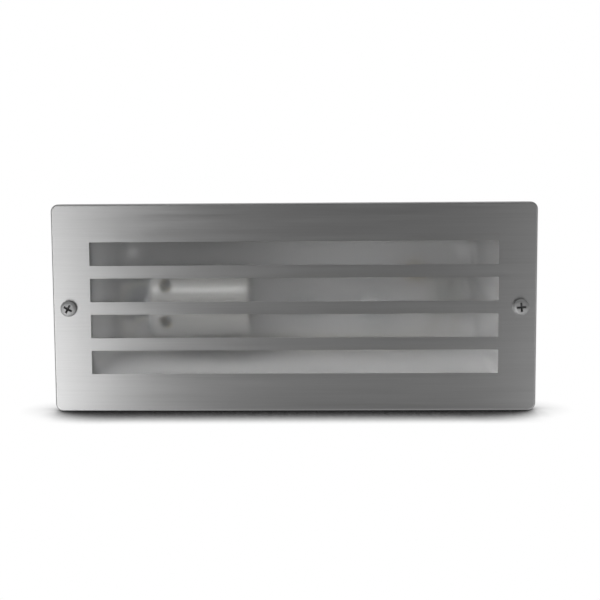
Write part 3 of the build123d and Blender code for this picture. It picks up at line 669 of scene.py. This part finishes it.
def light_room(scene, settings):
    """The room, by direction: dark in front, paler below, above, beside and behind, and white only
    where the camera sees it."""
    world = bpy.data.worlds.new("Studio room")
    world.use_nodes = True
    tree = world.node_tree
    tree.nodes.clear()
    side = add(tree, "SeparateXYZ", {0: add(tree, "TexCoord").outputs["Generated"]})
    below = add(tree, "MapRange", {
        "Value": side.outputs["Z"], "From Min": -0.5, "From Max": 0.0,
        "To Min": settings.ground, "To Max": settings.room})
    behind = add(tree, "MapRange", {
        "Value": side.outputs["Y"], "From Min": -0.5, "From Max": -0.05, "To Max": settings.wall})
    level = add(tree, "Math", {
        0: below.outputs["Result"], 1: behind.outputs["Result"]}, operation="MAXIMUM")
    seen = add(tree, "Mix", {
        0: add(tree, "LightPath").outputs["Is Camera Ray"], 2: level.outputs[0], 3: 1.0})
    sky = add(tree, "Background", {"Color": (1, 1, 1, 1), "Strength": seen.outputs[0]})
    add(tree, "OutputWorld", {"Surface": sky.outputs[0]})
    scene.world = world


# Operators


class WALLLIGHT_OT_front(bpy.types.Operator):
    """Give the front plate its brushed steel"""
    bl_idname = "wall_light.front"
    bl_label = "Front plate"

    def execute(self, context):
        dress(brushed_stainless(context.scene.wall_light.front), "faceplate")
        return {"FINISHED"}


class WALLLIGHT_OT_cover_screws(bpy.types.Operator):
    """Make the two cover screws with their threads and recesses"""
    bl_idname = "wall_light.cover_screws"
    bl_label = "Cover screws"

    def execute(self, context):
        settings = context.scene.wall_light.screws
        # Tumbled stainless screws: a dull shine with fine pits, and painted shade in the cross recess
        steel = metal(
            "Tumbled stainless screw", settings.colour, roughness=0.58, grain=0.0004, depth=0.2,
            painted_shade="recess")
        for node, body, turn in (
            ("left_cover_screw", "left_screw", settings.left_turn),
            ("right_cover_screw", "right_screw", settings.right_turn),
        ):
            points, faces, sunk = cover_screw(node, turn, settings)
            piece = new_piece(node + "_threaded", points, faces, steel, body, node)
            # The recess attribute holds how far each point is sunk, and the steel darkens it there as
            # painted shade
            recess = piece.data.attributes.new("recess", "FLOAT", "POINT")
            recess.data.foreach_set("value", sunk)
            dress(steel, node)
        return {"FINISHED"}


class WALLLIGHT_OT_glass(bpy.types.Operator):
    """Give the pane its etched glass and the seals their silicone"""
    bl_idname = "wall_light.glass"
    bl_label = "Glass and seals"

    def execute(self, context):
        settings = context.scene.wall_light
        dress(etched_glass(settings.glass), "diffuser_glass")
        # Cast silicone: dull and slightly cloudy, with a fine open skin
        silicone = moulded(
            "Pale silicone seal", settings.wiring.seal, roughness=0.62, grain=0.0005, depth=0.15,
            ior=1.41)
        dress(silicone, "glass_seal", "flange_gasket")
        return {"FINISHED"}


class WALLLIGHT_OT_box(bpy.types.Operator):
    """Give the wall box its powder coat"""
    bl_idname = "wall_light.box"
    bl_label = "Die-cast box"

    def execute(self, context):
        settings = context.scene.wall_light.box
        # Powder coat on die-cast aluminium: satin and nearly white, with the coat's fine orange peel
        coat = moulded(
            "Pale powder coat on die-cast aluminium", settings.colour, roughness=0.5,
            grain=settings.grain, depth=0.25, spread=0.03)
        dress(coat, "back_box")
        return {"FINISHED"}


class WALLLIGHT_OT_lampholder(bpy.types.Operator):
    """Give the lampholder its porcelain, its metal parts and a threaded shell"""
    bl_idname = "wall_light.lampholder"
    bl_label = "Lampholder"

    def execute(self, context):
        settings = context.scene.wall_light.holder
        wiring = context.scene.wall_light.wiring
        # Glazed porcelain: a warm pale grey under a thin clear glaze, with soft ripples in the gloss
        porcelain = moulded(
            "Glazed porcelain", settings.glaze, roughness=0.22, grain=0.004, depth=0.05, ior=1.54,
            spread=0.05, coat=0.6)
        dress(porcelain, "holder_base", "holder_skirt")
        # Nickel on pressed brass: warm grey and bright, with faint draw marks
        nickel = metal("Nickel-plated brass", settings.nickel, roughness=0.24, grain=0.0006, depth=0.08)
        points, faces = threaded_shell(settings)
        new_piece("screw_shell_threaded", points, faces, nickel, "housing", "screw_shell")
        dress(nickel, "screw_shell")
        # Pressed and turned brass: yellow and bright, a little brown where it has aged
        brass = metal(
            "Aged brass", wiring.brass, roughness=0.3, grain=0.0005, depth=0.1, tarnish=0.75)
        dress(brass, "contact_foot", "contact_tongue", "holder_terminals")
        # Zinc on steel: bluish, with a fine spangle and dull spots
        zinc = metal("Zinc-plated steel sheet", wiring.zinc, roughness=0.34, grain=0.0008, depth=0.1)
        dress(zinc, "holder_bracket")
        # Zinc on screws: brighter than on the sheet, with fine pits
        bolts = metal("Zinc-plated screw", wiring.zinc, roughness=0.28, grain=0.0004, depth=0.12)
        dress(bolts, "bracket_screws", "holder_screws", "holder_terminal_screws")
        return {"FINISHED"}


class WALLLIGHT_OT_wiring(bpy.types.Operator):
    """Give the terminal block, the leads and the earth their finishes"""
    bl_idname = "wall_light.wiring"
    bl_label = "Terminals and leads"

    def execute(self, context):
        settings = context.scene.wall_light.wiring
        # Moulded polyamide: creamy and a little waxy
        polyamide = moulded(
            "Pale moulded polyamide", settings.polyamide, roughness=0.42, grain=0.0006, depth=0.1)
        dress(polyamide, "terminal_block")
        # Turned brass: yellow and bright, with tool marks
        brass = metal("Turned brass", settings.brass, roughness=0.26, grain=0.0004, depth=0.1)
        dress(brass, "terminal_inserts", "earth_screw", "earth_washer")
        # Zinc on small screws: bluish and bright, with fine pits
        zinc = metal(
            "Zinc-plated small screw", settings.zinc, roughness=0.28, grain=0.0004, depth=0.12)
        dress(zinc, "terminal_screws", "block_screw")
        # Leads in woven glass fibre: off-white and dull, with a fine weave
        weave = moulded(
            "Glass-fibre sleeve", settings.sleeve, roughness=0.7, grain=0.0005, depth=0.3)
        dress(weave, "live_lead", "neutral_lead")
        return {"FINISHED"}


class WALLLIGHT_OT_cable_entries(bpy.types.Operator):
    """Give the cable gland and the blanking plug their finishes"""
    bl_idname = "wall_light.cable_entries"
    bl_label = "Cable entries"

    def execute(self, context):
        settings = context.scene.wall_light.wiring
        # Spark-eroded polyamide: pale and satin, with a fine leathery grain
        nylon = moulded("Pale grey polyamide", settings.gland, roughness=0.45, grain=0.0007, depth=0.2)
        dress(nylon, "gland_body", "gland_locknut", "gland_nut", "blanking_plug")
        # Black rubber: dull, greyish where it has bloomed
        rubber = moulded(
            "Black rubber", settings.rubber, roughness=0.75, grain=0.0008, depth=0.2, spread=0.25)
        dress(rubber, "gland_oring", "gland_seal")
        return {"FINISHED"}


class WALLLIGHT_OT_stage(bpy.types.Operator):
    """Set the camera, the white paper and the lights"""
    bl_idname = "wall_light.stage"
    bl_label = "Stage"

    def execute(self, context):
        scene = context.scene
        settings = scene.wall_light.stage
        scene.view_settings.view_transform = "Standard"
        set_camera(scene, settings)
        lay_paper(scene, settings)
        hang_lights(scene, settings)
        light_room(scene, settings)
        return {"FINISHED"}


class WALLLIGHT_PT_panel(bpy.types.Panel):
    """Lists the wall light's steps and settings"""
    bl_idname = "WALLLIGHT_PT_panel"
    bl_label = "Wall Light"
    bl_space_type = "VIEW_3D"
    bl_region_type = "UI"
    bl_category = "Wall Light"

    def draw(self, context):
        for operator in operators:
            self.layout.operator(operator.bl_idname)
        for group in WallLightSettings.__annotations__:
            self.layout.label(text=group.capitalize())
            settings = getattr(context.scene.wall_light, group)
            for name in settings.__annotations__:
                self.layout.prop(settings, name)


operators = (
    WALLLIGHT_OT_front, WALLLIGHT_OT_cover_screws, WALLLIGHT_OT_glass, WALLLIGHT_OT_box,
    WALLLIGHT_OT_lampholder, WALLLIGHT_OT_wiring, WALLLIGHT_OT_cable_entries, WALLLIGHT_OT_stage,
)
classes = (
    SteelFrontSettings, GlassSettings, BoxSettings, LampholderSettings, ScrewSettings, WiringSettings,
    StageSettings, WallLightSettings, *operators, WALLLIGHT_PT_panel,
)


def register():
    for item in classes:
        bpy.utils.register_class(item)
    bpy.types.Scene.wall_light = PointerProperty(
        name="Wall light", description="Settings of the wall light", type=WallLightSettings)


def unregister():
    del bpy.types.Scene.wall_light
    for item in reversed(classes):
        bpy.utils.unregister_class(item)


def main():
    register()
    bpy.ops.wall_light.front()
    bpy.ops.wall_light.cover_screws()
    bpy.ops.wall_light.glass()
    bpy.ops.wall_light.box()
    bpy.ops.wall_light.lampholder()
    bpy.ops.wall_light.wiring()
    bpy.ops.wall_light.cable_entries()
    bpy.ops.wall_light.stage()


if __name__ == "__main__":
    main()
